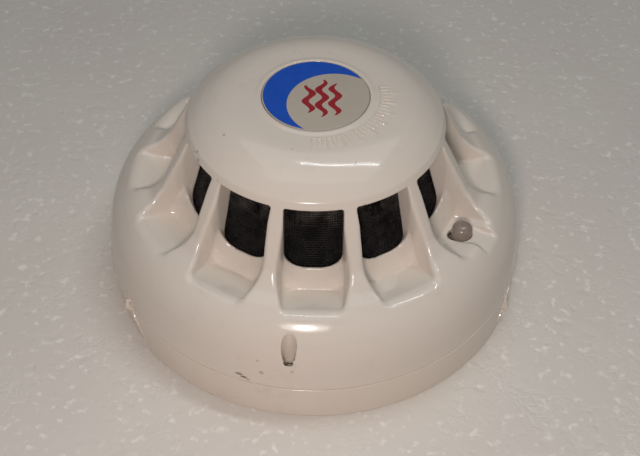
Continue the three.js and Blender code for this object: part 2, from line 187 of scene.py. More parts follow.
def soft_block(low, high, bevel=0.25):
    """A block with every edge cut by a small chamfer, as (vertices, faces)."""
    low, high = np.array(low, float), np.array(high, float)
    vertices, index = [], {}
    for corner in np.ndindex(2, 2, 2):
        outer = np.where(np.array(corner) == 1, high, low)
        inward = np.where(np.array(corner) == 1, -bevel, bevel)
        for axis in range(3):
            point = outer + inward
            point[axis] = outer[axis]
            index[corner, axis] = len(vertices)
            vertices.append(point)
    faces = []
    for axis in range(3):
        one, two = [a for a in range(3) if a != axis]
        for side in (0, 1):
            def corner(p, q):
                c = [0, 0, 0]
                c[axis], c[one], c[two] = side, p, q
                return tuple(c)
            faces.append([index[corner(p, q), axis] for p, q in ((0, 0), (1, 0), (1, 1), (0, 1))])
        for p, q in np.ndindex(2, 2):
            c = [0, 0, 0]
            c[one], c[two] = p, q
            ends = []
            for side in (0, 1):
                c[axis] = side
                ends.append(tuple(c))
            faces.append([index[ends[0], one], index[ends[1], one], index[ends[1], two], index[ends[0], two]])
    for corner in np.ndindex(2, 2, 2):
        faces.append([index[corner, axis] for axis in range(3)])
    return vertices, outward(vertices, faces)


def outward(vertices, faces):
    """Faces of a convex shape, each wound so that it faces away from the middle."""
    vertices = np.asarray(vertices, float)
    middle = vertices.mean(0)
    turned = []
    for face in faces:
        a, b, c = vertices[face[0]], vertices[face[1]], vertices[face[2]]
        flip = np.cross(b - a, c - a) @ (vertices[face].mean(0) - middle) < 0
        turned.append(face[::-1] if flip else face)
    return turned


def arc_bar(inner, outer, low, high, start, end, bevel=0.2):
    """A bar bent round the axis between two azimuths, every edge chamfered."""
    nudge = math.degrees(bevel / outer)
    steps = max(2, math.ceil(abs(end - start) / 2.5))
    stations = [start, *np.linspace(start + nudge, end - nudge, steps + 1), end]
    vertices, faces = [], []
    for k, azimuth in enumerate(stations):
        inset = bevel * 0.7 if k in (0, len(stations) - 1) else 0
        cut = bevel - inset + 0.01
        i, o, l, h = inner + inset, outer - inset, low + inset, high - inset
        section = [(i, l + cut), (i + cut, l), (o - cut, l), (o, l + cut),
                   (o, h - cut), (o - cut, h), (i + cut, h), (i, h - cut)]
        vertices += [(*polar(r, azimuth), z) for r, z in section]
    for k in range(len(stations) - 1):
        for n in range(8):
            m = (n + 1) % 8
            faces.append([8 * k + n, 8 * k + m, 8 * k + 8 + m, 8 * k + 8 + n])
    faces.append(list(range(7, -1, -1)))
    faces.append([8 * (len(stations) - 1) + n for n in range(8)])
    return vertices, faces


def extruded(outline, low, high, bevel=0.15):
    """An upright plate of an anticlockwise outline, its top and bottom edges chamfered."""
    outline = np.asarray(outline, float)
    ahead = np.roll(outline, -1, axis=0) - outline
    ahead /= np.linalg.norm(ahead, axis=1)[:, None]
    out = np.stack([ahead[:, 1], -ahead[:, 0]], axis=1)
    before = np.roll(out, 1, axis=0)
    inset = outline - (out + before) * (bevel / (1 + (out * before).sum(1)))[:, None]
    count = len(outline)
    vertices = []
    for ring, z in ((inset, low), (outline, low + bevel), (outline, high - bevel), (inset, high)):
        vertices += [(x, y, z) for x, y in ring]
    faces = [list(range(count - 1, -1, -1)), [3 * count + k for k in range(count)]]
    for level in range(3):
        for k in range(count):
            n = (k + 1) % count
            faces.append([level * count + k, level * count + n, (level + 1) * count + n, (level + 1) * count + k])
    return vertices, faces


def circle(radius, count=32, centre=(0, 0)):
    return [(centre[0] + radius * math.cos(2 * math.pi * k / count),
             centre[1] + radius * math.sin(2 * math.pi * k / count)) for k in range(count)]


def slotted(x, half_travel, radius, count=12):
    """Outline of a round-ended slot that lies along X."""
    ends = []
    for side, start in ((1, -90), (-1, 90)):
        for k in range(count + 1):
            a = math.radians(start + 180 * k / count)
            ends.append((x + side * half_travel + radius * math.cos(a), radius * math.sin(a)))
    return ends


def carve(piece, cutters, smooth_below=35):
    """Cut closed shapes out of a piece for good."""
    tools = []
    for vertices, faces in cutters:
        tool = mesh_object("tool", vertices, faces, piece.data.materials[0])
        step = piece.modifiers.new("cut", "BOOLEAN")
        step.operation, step.solver, step.object = "DIFFERENCE", "EXACT", tool
        tools.append(tool)
    bpy.context.view_layer.update()
    done = bpy.data.meshes.new_from_object(piece.evaluated_get(bpy.context.evaluated_depsgraph_get()))
    piece.modifiers.clear()
    old, piece.data = piece.data, done
    name = piece.name
    bpy.data.meshes.remove(old)
    done.name = name
    for tool in tools:
        bpy.data.meshes.remove(tool.data)
    done.polygons.foreach_set("use_smooth", [True] * len(done.polygons))
    done.set_sharp_from_angle(angle=math.radians(smooth_below))


def fit(piece, body, slot, *nodes):
    """Hang a finished piece on the body it rides on and hide the frame parts it stands for; slot is not used."""
    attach(piece, body)
    if nodes:
        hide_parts(*nodes)
    return piece


# ---- materials -------------------------------------------------------------------------------------
def shader(name, colour, roughness, metallic=0.0, **sockets):
    """A Principled material and its tree; socket values set here are the same all over."""
    material = bpy.data.materials.new(name)
    material.use_nodes = True
    tree = material.node_tree
    surface = tree.nodes["Principled BSDF"]
    surface.inputs["Base Color"].default_value = (*colour, 1)
    surface.inputs["Roughness"].default_value = roughness
    surface.inputs["Metallic"].default_value = metallic
    for socket, value in sockets.items():
        surface.inputs[socket.replace("_", " ")].default_value = value
    return material, tree, surface


def node(tree, kind, inputs=(), **settings):
    made = tree.nodes.new(kind)
    for key, value in settings.items():
        setattr(made, key, value)
    for socket, value in dict(inputs).items():
        if isinstance(value, bpy.types.NodeSocket):
            tree.links.new(value, made.inputs[socket])
        else:
            made.inputs[socket].default_value = value
    return made


def noise(tree, scale, detail=3.0, roughness=0.5, vector=None):
    where = vector or node(tree, "ShaderNodeTexCoord").outputs["Object"]
    made = node(tree, "ShaderNodeTexNoise", {
        "Vector": where, "Scale": scale, "Detail": detail, "Roughness": roughness})
    return made.outputs["Fac"]


def mapped(tree, value, low, high, to_low=0.0, to_high=1.0):
    made = node(tree, "ShaderNodeMapRange", {
        "Value": value, "From Min": low, "From Max": high, "To Min": to_low, "To Max": to_high})
    return made.outputs["Result"]


def mixed(tree, factor, one, two):
    made = node(tree, "ShaderNodeMix", data_type="RGBA")
    for socket, value in ((made.inputs[0], factor), (made.inputs[6], one), (made.inputs[7], two)):
        if isinstance(value, bpy.types.NodeSocket):
            tree.links.new(value, socket)
        else:
            socket.default_value = value if isinstance(value, float) else (*value, 1)
    return made.outputs[2]


def maths(tree, operation, one, two):
    made = node(tree, "ShaderNodeMath", operation=operation)
    for socket, value in zip(made.inputs, (one, two)):
        if isinstance(value, bpy.types.NodeSocket):
            tree.links.new(value, socket)
        else:
            socket.default_value = value
    return made.outputs[0]


def bump(tree, surface, height, distance, strength=1.0):
    made = node(tree, "ShaderNodeBump", {"Height": height, "Distance": distance, "Strength": strength})
    tree.links.new(made.outputs["Normal"], surface.inputs["Normal"])


def aged_plastic(name, colour, tint, grime=(0.16, 0.12, 0.085), spots=()):
    """Glossy moulded ABS with uneven yellowing, dust specks, faint wear and a few set marks."""
    material, tree, surface = shader(name, colour, 0.3, Specular_IOR_Level=0.5)
    patches = mapped(tree, noise(tree, 28, 3), 0.35, 0.68)
    body = mixed(tree, patches, colour, tint)
    fleck = node(tree, "ShaderNodeTexVoronoi", {
        "Vector": node(tree, "ShaderNodeTexCoord").outputs["Object"], "Scale": 190.0, "Randomness": 1.0})
    near = mapped(tree, fleck.outputs["Distance"], 0.02, 0.055, 1.0, 0.0)
    some = mapped(tree, noise(tree, 60, 2), 0.55, 0.66)
    dirt = maths(tree, "MULTIPLY", near, some)
    film = mapped(tree, noise(tree, 160, 5, 0.65), 0.58, 0.86, 0.0, 0.13)
    dirt = maths(tree, "ADD", maths(tree, "MULTIPLY", dirt, 0.6), film)
    where = node(tree, "ShaderNodeTexCoord").outputs["Object"]
    for centre, stretch, size, strength in spots:
        away = node(tree, "ShaderNodeVectorMath", {0: where, 1: Vector(centre) * MM}, operation="SUBTRACT")
        scaled = node(tree, "ShaderNodeVectorMath", {0: away.outputs[0], 1: stretch}, operation="MULTIPLY")
        length = node(tree, "ShaderNodeVectorMath", {0: scaled.outputs[0]}, operation="LENGTH")
        mark = mapped(tree, length.outputs["Value"], size * 0.5 * MM, size * MM, strength, 0.0)
        dirt = maths(tree, "MAXIMUM", dirt, mark)
    tree.links.new(mixed(tree, dirt, body, grime), surface.inputs["Base Color"])
    rough = maths(tree, "ADD", mapped(tree, noise(tree, 120, 4), 0.3, 0.7, 0.08, 0.13),
                  maths(tree, "MULTIPLY", dirt, 0.4))
    tree.links.new(rough, surface.inputs["Roughness"])
    bump(tree, surface, noise(tree, 700, 3), 0.00001, 0.3)
    return material


def plain(name, colour, roughness, metallic=0.0, vary=0.25, scale=400.0, grain=0.00002, **sockets):
    """A material whose colour and roughness drift a little, with a fine grain."""
    material, tree, surface = shader(name, colour, roughness, metallic, **sockets)
    drift = noise(tree, scale, 4)
    dark = tuple(c * (1 - vary) for c in colour)
    tree.links.new(mixed(tree, mapped(tree, drift, 0.3, 0.7), dark, colour), surface.inputs["Base Color"])
    rough = mapped(tree, noise(tree, scale * 0.6, 3), 0.3, 0.7, roughness * 0.8, min(1, roughness * 1.2))
    tree.links.new(rough, surface.inputs["Roughness"])
    bump(tree, surface, noise(tree, scale * 6, 2), grain, 0.5)
    return material


def dusty_mesh(name):
    """Black woven mesh that holds pale dust and fluff, more of it near the top."""
    material, tree, surface = shader(name, (0.004, 0.0035, 0.004), 0.5, Specular_IOR_Level=0.3)
    coordinates = node(tree, "ShaderNodeTexCoord").outputs["Object"]
    height = node(tree, "ShaderNodeSeparateXYZ", {0: coordinates}).outputs["Z"]
    upper = mapped(tree, height, 0.037, 0.0445, 0.06, 0.95)
    cloud = mapped(tree, noise(tree, 330, 6, 0.7), 0.4, 0.64)
    specks = mapped(tree, noise(tree, 1500, 2, 0.6), 0.62, 0.72, 0.0, 1.0)
    level = node(tree, "ShaderNodeMath", {0: height, 1: 0.0382}, operation="SUBTRACT").outputs[0]
    level = node(tree, "ShaderNodeMath", {0: level}, operation="ABSOLUTE").outputs[0]
    fold = maths(tree, "MULTIPLY", mapped(tree, level, 0.00006, 0.00022, 0.3, 0.0),
                 mapped(tree, noise(tree, 90, 2), 0.5, 0.58))
    dust = maths(tree, "MULTIPLY", cloud, maths(tree, "ADD", upper, 0.1))
    dust = maths(tree, "MAXIMUM", maths(tree, "MAXIMUM", dust, fold), maths(tree, "MULTIPLY", specks, 0.5))
    tree.links.new(mixed(tree, dust, (0.004, 0.0035, 0.004), (0.2, 0.18, 0.17)), surface.inputs["Base Color"])
    rough = maths(tree, "ADD", maths(tree, "MULTIPLY", dust, 0.35), 0.5)
    tree.links.new(rough, surface.inputs["Roughness"])
    return material


def circuit_green(name):
    """Green solder mask over copper tracks, with tinned pads."""
    material, tree, surface = shader(name, (0.02, 0.13, 0.05), 0.35, Coat_Weight=0.3)
    where = node(tree, "ShaderNodeTexCoord").outputs["Object"]
    tracks = node(tree, "ShaderNodeTexBrick", {
        "Vector": where, "Scale": 420.0, "Mortar Size": 0.035, "Mortar Smooth": 0.2,
        "Color1": (0, 0, 0, 1), "Color2": (0, 0, 0, 1), "Mortar": (1, 1, 1, 1)})
    patch = mapped(tree, noise(tree, 120, 1), 0.5, 0.53)
    line = maths(tree, "MULTIPLY", tracks.outputs["Color"], patch)
    green = mixed(tree, line, (0.012, 0.095, 0.035), (0.05, 0.2, 0.07))
    pads = node(tree, "ShaderNodeTexVoronoi", {"Vector": where, "Scale": 330.0, "Randomness": 0.7})
    tinned = maths(tree, "MULTIPLY", mapped(tree, pads.outputs["Distance"], 0.1, 0.13, 1.0, 0.0),
                   mapped(tree, noise(tree, 90, 1), 0.5, 0.54))
    tree.links.new(mixed(tree, tinned, green, (0.62, 0.6, 0.55)), surface.inputs["Base Color"])
    tree.links.new(mapped(tree, tinned, 0, 1, 0.0, 0.9), surface.inputs["Metallic"])
    bump(tree, surface, maths(tree, "ADD", line, tinned), 0.00003, 0.6)
    return material


def clear_acrylic(name):
    material, tree, surface = shader(
        name, (0.46, 0.38, 0.32), 0.12, Transmission_Weight=0.4, IOR=1.49)
    tree.links.new(mapped(tree, noise(tree, 900, 3), 0.3, 0.7, 0.08, 0.22), surface.inputs["Roughness"])
    bump(tree, surface, noise(tree, 1600, 2), 0.00002, 0.3)
    return material


def foam_board(name):
    """The plain pale surface under the object: bead foam with small dents, and glints painted in as light specks."""
    material, tree, surface = shader(name, (0.75, 0.7, 0.65), 0.45)
    where = node(tree, "ShaderNodeTexCoord").outputs["Object"]
    warp = node(tree, "ShaderNodeTexNoise", {"Vector": where, "Scale": 240.0, "Detail": 2.0})
    bent = node(tree, "ShaderNodeVectorMath", {0: warp.outputs["Color"], 1: (0.002, 0.002, 0)}, operation="MULTIPLY")
    bent = node(tree, "ShaderNodeVectorMath", {0: where, 1: bent.outputs[0]}, operation="ADD").outputs[0]
    gaps = node(tree, "ShaderNodeTexVoronoi", {"Vector": bent, "Scale": 400.0}, feature="DISTANCE_TO_EDGE")
    seams = maths(tree, "MULTIPLY", mapped(tree, gaps.outputs["Distance"], 0.0, 0.12, 1.0, 0.0),
                  mapped(tree, noise(tree, 70, 2, 0.5), 0.5, 0.62))
    # Painted highlight: sparse light specks in the colour stand in for glints of light on the foam beads.
    painted_glints = maths(tree, "MULTIPLY", mapped(tree, noise(tree, 400, 2, 0.5), 0.58, 0.68),
                   mapped(tree, noise(tree, 90, 3, 0.6), 0.38, 0.52))
    dents = maths(tree, "MULTIPLY", mapped(tree, noise(tree, 300, 2, 0.4), 0.55, 0.78),
                  mapped(tree, noise(tree, 60, 2, 0.5), 0.36, 0.6))
    tone = mapped(tree, noise(tree, 14, 3, 0.5), 0.35, 0.65)
    body = mixed(tree, tone, (0.74, 0.685, 0.63), (0.77, 0.73, 0.67))
    body = mixed(tree, maths(tree, "MULTIPLY", seams, 0.18), body, (0.88, 0.84, 0.78))
    body = mixed(tree, maths(tree, "MULTIPLY", painted_glints, 0.75), body, (0.95, 0.91, 0.85))
    tree.links.new(body, surface.inputs["Base Color"])
    height = maths(tree, "SUBTRACT", maths(tree, "MULTIPLY", noise(tree, 260, 4, 0.55), 0.5),
                   maths(tree, "ADD", maths(tree, "MULTIPLY", seams, 0.35), dents))
    bump(tree, surface, height, 0.0003, 0.5)
    return material


def mark(azimuth, radius, z, size, strength=0.8, long=1.0):
    """A dark mark on a surface, long times wider than high where it faces the front."""
    return ((*polar(radius, azimuth), z), (1 / long, 1.0, 1.0), size, strength)


CAP_MARKS = [
    mark(-58, 24.5, 52.2, 0.5, 0.45), mark(-62, 30.5, 48.2, 0.5, 0.5, 1.6), mark(-59, 31.2, 47.2, 0.6, 0.45),
    mark(-64, 30.9, 47.6, 0.4, 0.55), mark(-50, 30.6, 47.9, 0.35, 0.4), mark(-44, 31.3, 47, 0.4, 0.35),
    mark(14, 24.2, 52.3, 0.3, 0.4), mark(21, 31.5, 46.9, 0.35, 0.35), mark(-15, 19.5, 53.6, 0.3, 0.35),
]
SKIRT_MARKS = [
    mark(-18.6, 53.9, 12.3, 0.5, 0.85, 3.4), mark(-17.2, 53.9, 11.6, 0.45, 0.95, 3.2),
    mark(-16.0, 53.9, 11.1, 0.3, 0.6, 3.0), mark(-13.5, 53.3, 18.2, 0.6, 0.35),
    mark(-12.5, 53.5, 14.6, 0.7, 0.4), mark(-4.8, 53.4, 16.2, 0.6, 0.3),
]
IVORY = aged_plastic("ivory_abs", (0.8, 0.725, 0.64), (0.77, 0.705, 0.63), spots=CAP_MARKS + SKIRT_MARKS)
BASE_IVORY = aged_plastic("base_abs", (0.8, 0.72, 0.63), (0.77, 0.7, 0.615))
BLACK = plain("black_moulding", (0.012, 0.012, 0.013), 0.5)
MESH = dusty_mesh("black_mesh")
STEEL = plain("plated_steel", (0.6, 0.6, 0.58), 0.28, 1.0, vary=0.15, scale=900)
BRASS = plain("brass_strip", (0.68, 0.5, 0.22), 0.3, 1.0, vary=0.2, scale=700)
BOARD = circuit_green("solder_mask")
CHIP = plain("chip_epoxy", (0.02, 0.02, 0.022), 0.55, scale=900)
SLEEVE = plain("capacitor_sleeve", (0.015, 0.02, 0.06), 0.35)
CLEAR = clear_acrylic("clear_acrylic")
RED_LAMP = plain("lamp_epoxy", (0.4, 0.02, 0.015), 0.15, vary=0.1)
DARK_LENS = plain("dark_lens", (0.04, 0.02, 0.05), 0.1, vary=0.2)
PAPER = plain("label_face", (0.555, 0.49, 0.41), 0.38, vary=0.06, scale=120)
BLUE_INK = plain("blue_ink", (0.0, 0.085, 0.56), 0.55, vary=0.12, scale=500)
RED_INK = plain("red_ink", (0.36, 0.012, 0.02), 0.5, vary=0.12, scale=500)


# ---- outer cover -----------------------------------------------------------------------------------
FAR_SIDE = -30              # outlines run past the axis so that it isn't an edge
CREST = filleted([
    (FAR_SIDE, LABEL_LOW - 0.3, 0), (LABEL_RADIUS + 0.3, LABEL_LOW - 0.3, 0.1),
    (LABEL_RADIUS + 0.42, HEIGHT - 0.05, 0.2), (LABEL_RADIUS + 1.0, HEIGHT - 0.02, 0.25),
    (LABEL_RADIUS + 2.0, HEIGHT - 0.22, 1), (20.5, 53.6, 20), (24.6, 52.45, 15), (28.2, 50.5, 16),
    (30.75, 48.35, 1.3), (38.9, 33.3, 5), (41.9, 30.3, 6), (45.6, 28.95, 15.5), (49.1, 26.35, 14),
    (51.6, 22.9, 13), (53.2, 17.9, 28), (53.98, COVER_FOOT, 0.2), (50, COVER_FOOT, 0),
    (FAR_SIDE, COVER_FOOT, 0),
], step=1)
HOLLOW = filleted([
    (FAR_SIDE, 51.4, 0), (20.5, 51.4, 2), (26.1, 47.6, 0.8), (26.1, 46, 0.5), (31.95, 29, 0.5),
    (32.2, 27.2, 0.5), (33.6, 25.2, 1), (36.5, 23.6, 2), (44.3, 25, 3), (50.8, 19.4, 4), (51.6, COVER_FOOT, 0),
    (51.6, COVER_FOOT - 4, 0), (FAR_SIDE, COVER_FOOT - 4, 0),
], step=2)
SCOOP_FLOOR = filleted([
    (20, 20, 0), (31, 26.6, 0), (32.85, 29.6, 0.35), (36.1, 25.0, 0.2), (46.2, 28.75, 0), (60, 33.6, 0)], 4)
SCOOP_HALF = filleted([(20, 6.5, 0), (32.4, 6.75, 4), (36.4, 7.3, 4), (45.3, 7.05, 8), (60, 5, 0)], 4)
SCOOP_DRAFT = filleted([(20, 0, 0), (32.6, 0, 1), (36.2, 0.1, 1), (38.4, 0.2, 2), (42, 0.26, 5),
                        (60, 0.26, 0)], 4)
SCOOP_ROUND = filleted([(20, 5.3, 0), (34.8, 5.3, 1), (37.4, 1.8, 1.5), (39.5, 0.8, 2), (43, 0.9, 2),
                        (46, 1.7, 2), (60, 2.5, 0)], 4)
EDGE = 1.0                  # how softly the scoops round over into the ribs


def outline_distance(x, y, outline):
    """Signed distance from points to a closed outline, negative inside."""
    best = np.full(x.shape, np.inf)
    inside = np.zeros(x.shape, bool)
    for (ax, ay), (bx, by) in zip(outline, np.roll(outline, -1, axis=0)):
        dx, dy = bx - ax, by - ay
        length = dx * dx + dy * dy
        if length < 1e-12:
            continue
        t = np.clip(((x - ax) * dx + (y - ay) * dy) / length, 0, 1)
        best = np.minimum(best, (x - ax - t * dx) ** 2 + (y - ay - t * dy) ** 2)
        if dy:
            inside ^= ((ay > y) != (by > y)) & (x < dx * (y - ay) / dy + ax)
    return np.where(inside, -1, 1) * np.sqrt(best)


def profile_field(outline, step=0.125):
    """Distance to an outline turned about Z, as a function that looks it up on a fine table."""
    radii = np.arange(0, BASE_RADIUS + 3, step)
    heights = np.arange(COVER_FOOT - 2.5, HEIGHT + 3, step)
    table = outline_distance(*np.meshgrid(radii, heights, indexing="ij"), outline)

    def look(radius, height):
        u = np.clip(radius / step, 0, len(radii) - 1.001)
        v = np.clip((height - heights[0]) / step, 0, len(heights) - 1.001)
        i, j = u.astype(int), v.astype(int)
        u, v = u - i, v - j
        low = table[i, j] * (1 - u) + table[i + 1, j] * u
        high = table[i, j + 1] * (1 - u) + table[i + 1, j + 1] * u
        return low * (1 - v) + high * v

    return look


def soft_max(a, b, width):
    """The larger of two distances, rounded where they are within width of each other."""
    near = np.maximum(width - np.abs(a - b), 0) / width
    return np.maximum(a, b) + near * near * width / 4


crest_field, hollow_field = profile_field(CREST), profile_field(HOLLOW)


def scoop_distance(across, out, z):
    """Signed distance to the open channel of a smoke scoop, negative in the air."""
    floor = np.interp(out, *SCOOP_FLOOR.T)
    corner = np.interp(out, *SCOOP_ROUND.T)
    draft = np.interp(out, *SCOOP_DRAFT.T)
    down = floor + corner - z
    half = np.interp(out, *SCOOP_HALF.T) + draft * np.maximum(-down, 0)
    side = (np.abs(across) - (half - corner)) / np.sqrt(1 + draft * draft)
    section = np.hypot(np.maximum(side, 0), np.maximum(down, 0)) + np.minimum(np.maximum(side, down), 0)
    return soft_max(section - corner, z - WINDOW_TOP, 0.8)


def cover_distance(x, y, z):
    """Signed distance to the cover's plastic."""
    radius = np.hypot(x, y)
    azimuth = np.degrees(np.arctan2(x, -y))
    scoop = np.round(azimuth / SECTOR)
    offset = np.radians(azimuth - SECTOR * scoop)
    across, out = radius * np.sin(offset), radius * np.cos(offset)
    crest = crest_field(radius, z)
    edge = np.interp(z, (43, 46), (EDGE, 0.5)) + np.interp(out, (43.5, 45.5), (0, 0.8))
    shell = soft_max(crest, -scoop_distance(across, out, z), edge)
    shell = soft_max(shell, -hollow_field(radius, z), 0.5)
    lock_x, lock_y = polar(LOCK_RADIUS, LOCK_AZIMUTH)
    from_lock = np.hypot(x - lock_x, y - lock_y)
    boss = np.maximum(np.maximum(from_lock - 3.4, z - 24), crest)
    bore = np.interp(z, (15.2, 18.6), (LOCK_BORE - 0.18, LOCK_BORE))
    shell = soft_max(np.minimum(shell, boss), bore - from_lock, 0.25)
    turned = np.radians(azimuth - LED_AZIMUTH)
    beside, beyond = radius * np.sin(turned), radius * np.cos(turned) - LED_RADIUS
    hole = np.hypot(beside, beyond + 0.4) - PIPE_RADIUS - 0.45
    sight = soft_max(np.maximum(np.abs(beside) - SIGHT_HALF, -beyond), SIGHT_FLOOR - z, 0.8)
    lamp = soft_max(soft_max(shell, -sight, 0.7), -hole, 0.3)
    return np.where((scoop == round(LED_AZIMUTH / SECTOR)) & (radius > 30), lamp, shell)


def slope_of(distance, points, reach):
    """Gradient of a distance at points, by central differences."""
    gradient = np.empty_like(points)
    for axis in range(3):
        step = np.zeros(3)
        step[axis] = reach
        gradient[:, axis] = (distance(*(points + step).T) - distance(*(points - step).T)) / (2 * reach)
    return gradient


def skinned(distance, radii, turns, heights):
    """A quad skin over a ring-shaped distance, sampled on a polar grid that closes on itself."""
    columns = len(turns)
    field = np.empty((len(radii), columns, len(heights)))
    for k, turn in enumerate(np.radians(turns)):
        grid_r, grid_z = np.meshgrid(radii, heights, indexing="ij")
        field[:, k] = distance(grid_r * np.sin(turn), -grid_r * np.cos(turn), grid_z)
    inside = field < 0
    stacked = [np.roll(inside, -b, axis=1)[a:a + len(radii) - 1, :, c:c + len(heights) - 1]
               for a, b, c in np.ndindex(2, 2, 2)]
    count = np.sum(stacked, axis=0)
    cells = np.argwhere((count > 0) & (count < 8))
    number = np.full(count.shape, -1)
    number[tuple(cells.T)] = np.arange(len(cells))
    total, hits = np.zeros((len(cells), 3)), np.zeros(len(cells))
    for axis in range(3):
        for corner in np.ndindex(2, 2, 2):
            if corner[axis]:
                continue
            far = list(corner)
            far[axis] = 1
            one, two = cells + corner, cells + far
            one[:, 1] %= columns
            two[:, 1] %= columns
            f_one, f_two = field[tuple(one.T)], field[tuple(two.T)]
            cross = (f_one < 0) != (f_two < 0)
            share = np.where(cross, f_one / np.where(cross, f_one - f_two, 1), 0)
            where = np.array(corner, float) * np.ones((len(cells), 1))
            where[:, axis] = share
            total += where * cross[:, None]
            hits += cross
    place = cells + total / hits[:, None]
    radius = np.interp(place[:, 0], np.arange(len(radii)), radii)
    height = np.interp(place[:, 2], np.arange(len(heights)), heights)
    around = np.radians(np.interp(place[:, 1], np.arange(columns + 1), [*turns, turns[0] + 360]))
    points = np.stack([radius * np.sin(around), -radius * np.cos(around), height], axis=1)
    quads = []
    for axis, (one, two) in enumerate(((1, 2), (2, 0), (0, 1))):
        moved = np.roll(inside, -1, axis=axis)
        edges = np.argwhere(inside != moved)
        limit = np.array(inside.shape)
        keep = (edges[:, 0] < limit[0] - 1) & (edges[:, 2] < limit[2] - 1)
        for other in {one, two} - {1}:
            keep &= edges[:, other] > 0
        edges = edges[keep]
        corners = []
        for back_one, back_two in ((1, 1), (0, 1), (0, 0), (1, 0)):
            cell = edges.copy()
            cell[:, one] -= back_one
            cell[:, two] -= back_two
            cell[:, 1] %= columns
            corners.append(number[tuple(cell.T)])
        quad = np.stack(corners, axis=1)
        falling = ~inside[tuple(edges.T)]
        quad[falling] = quad[falling][:, ::-1]
        quads.append(quad)
    return points, np.concatenate(quads), number


def make_cover():
    near, far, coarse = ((1, 1, 1))
    rim = LABEL_RADIUS - 0.3
    radii = np.concatenate([
        np.arange(rim, rim + 2.4, 0.2), np.arange(rim + 2.4, 32, 0.6 * coarse),
        np.arange(32, 49, 0.5 * coarse), np.arange(49, 55.2, 0.4 * near)])
    heights = np.concatenate([
        np.arange(9.4, 11.8, 0.3), np.arange(11.8, 14.8, 0.6 * coarse), np.arange(14.8, 19, 0.3 * near),
        np.arange(19, 27, 0.42 * near),
        np.arange(27, 45.8, 0.6 * coarse), np.arange(45.8, HEIGHT + 0.6, 0.28 * far)])
    turns, turn = [], -180.0
    while turn < 179.7:
        turns.append(turn)
        fine = abs(turn - LOCK_AZIMUTH) < 3.4 or abs(turn - LED_AZIMUTH) < 5.5
        turn += 0.3 * near if fine else 0.85 * coarse
    points, quads, number = skinned(cover_distance, radii, turns, heights)
    for _ in range(3):
        value = cover_distance(*points.T)
        slope = slope_of(cover_distance, points, 0.05)
        steep = np.maximum((slope ** 2).sum(1), 0.25)
        points -= np.clip(value / steep, -0.3, 0.3)[:, None] * slope
    normals = slope_of(cover_distance, points, 0.18)
    faces = quads.tolist()
    vertices, extra = points.tolist(), []
    for level, up in ((number[0].max(axis=1), True), (None, False)):
        first = number[0]
        rim = level if up else np.where(first >= 0, first, first.max() + 1).min(axis=1)
        middle = len(vertices)
        vertices.append((0, 0, float(points[rim, 2].mean())))
        extra.append((0, 0, 1 if up else -1))
        for k in range(len(rim)):
            pair = (int(rim[k]), int(rim[(k + 1) % len(rim)]))
            faces.append([middle, *pair] if up else [middle, *pair[::-1]])
    normals = np.vstack([normals / np.linalg.norm(normals, axis=1)[:, None], extra])
    return mesh_object("cover_moulding", vertices, faces, IVORY, normals=normals)


fit(make_cover(), "cover", "ivory_plastic", "outer_cover")


# ---- label and cap -----------------------------------------------------------------------------------
def make_label():
    edge = LABEL_RADIUS + 0.2
    rim = filleted([(0, LABEL_LOW, 0), (edge, LABEL_LOW, 0), (edge, LABEL_TOP, 0.1), (0, LABEL_TOP, 0)])
    fit(mesh_object("label_face", *spun(rim, 192), PAPER), "cover", "label", "label_disc")
    edge, other, shift_x, shift_y = 12.55, 11.4, 4.6, -3.4
    outside = [p for p in circle(edge, 360) if math.hypot(p[0] - shift_x, p[1] - shift_y) > other]
    split = max(range(len(outside)), key=lambda k: math.dist(outside[k], outside[k - 1]))
    outside = outside[split:] + outside[:split]
    inner = [p for p in circle(other, 360, (shift_x, shift_y)) if math.hypot(*p) < edge]
    split = max(range(len(inner)), key=lambda k: math.dist(inner[k], inner[k - 1]))
    inner = (inner[split:] + inner[:split])[::-1]
    crescent = extruded(outside[::2] + inner[::2], LABEL_TOP - 0.01, LABEL_TOP + 0.04, 0.01)
    fit(mesh_object("label_crescent", *crescent, BLUE_INK), "cover", "label")
    wisps = []
    for x, low, high in ((-1.6, -6.6, 3.4), (1.5, -8.0, 5.6), (4.6, -7.4, 4.2)):
        line = [(x + 0.85 * math.sin(2 * math.pi * (y - low) / 5.6), y) for y in np.linspace(low, high, 40)]
        half = [0.85 * min(1, 0.25 + 4 * min(t, 1 - t)) for t in np.linspace(0, 1, 40)]
        right = [(a + h, b) for (a, b), h in zip(line, half)]
        left = [(a - h, b) for (a, b), h in zip(line, half)]
        wisps.append(extruded(right + left[::-1], LABEL_TOP - 0.01, LABEL_TOP + 0.04, 0.01))
    fit(mesh_object("label_wisps", *gathered(wisps), RED_INK), "cover", "label")


def make_cap_ticks():
    """A raised scale on the cap beside the label: long and short ticks on a thin arc."""
    ticks = [arc_bar(15.3, 15.65, 53.5, 53.97, -3, 103, 0.06)]
    for k in range(27):
        reach = 19.4 if k % 3 == 0 else 18
        vertices, faces = soft_block((-0.25, -reach, 53.3), (0.25, -15.5, 53.96), 0.08)
        vertices = np.array(vertices)
        vertices[:, 2] -= (-vertices[:, 1] - 15.5) * 0.035
        ticks.append((shift(vertices, -2 + 4 * k), faces))
    fit(mesh_object("cap_ticks", *gathered(ticks), IVORY), "cover", "ivory_plastic")


def make_light_pipe():
    line = filleted([
        (0, 18.9, 0), (2.1, 18.9, 0), (2.5, 22.4, 0.1), (3.4, 22.4, 0.2), (3.4, 23.5, 0.2), (2.5, 23.5, 0.1),
        (2.5, 28.6, 1.6), (1.3, 29.55, 1.9), (0, 29.6, 0)], step=8)
    vertices, faces = spun(line, 64)
    fit(mesh_object("lamp_lens", shift(vertices, LED_AZIMUTH, (0, -LED_RADIUS, 0)), faces, CLEAR),
        "cover", "clear_plastic", "light_pipe")


